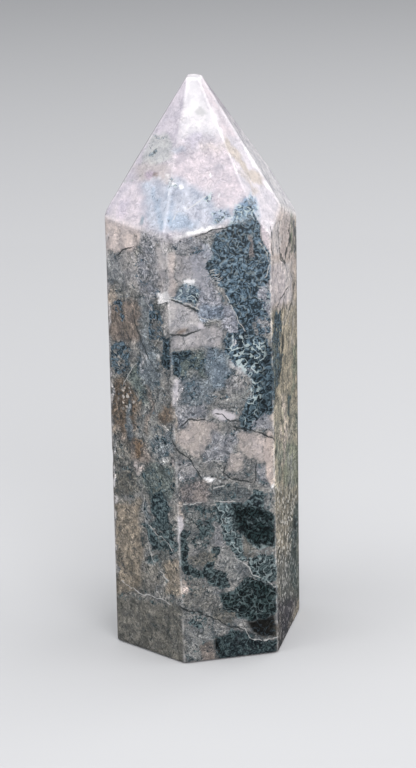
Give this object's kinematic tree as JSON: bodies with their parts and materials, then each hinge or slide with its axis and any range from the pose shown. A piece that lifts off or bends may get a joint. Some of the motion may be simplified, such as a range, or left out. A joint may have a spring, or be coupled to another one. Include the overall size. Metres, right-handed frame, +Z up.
{
  "type": "moss agate tower",
  "caption": "Polished moss agate tower: an upright faceted shaft under a faceted point with a worn tip, standing free on a flat sawn base.",
  "frame": {"origin": "centre of the stone's footprint, on the surface that it stands on", "axes": "+Z up along the shaft towards the point, -Y towards the viewer of the picture, +X to the viewer's right"},
  "size_m": [0.0384, 0.0366, 0.116],
  "materials": {
    "moss_agate": "high polish, pinkish grey chalcedony with dark teal and green moss inclusions"
  },
  "bodies": {
    "root": {"tower": "moss_agate"}
  },
  "joints": []
}
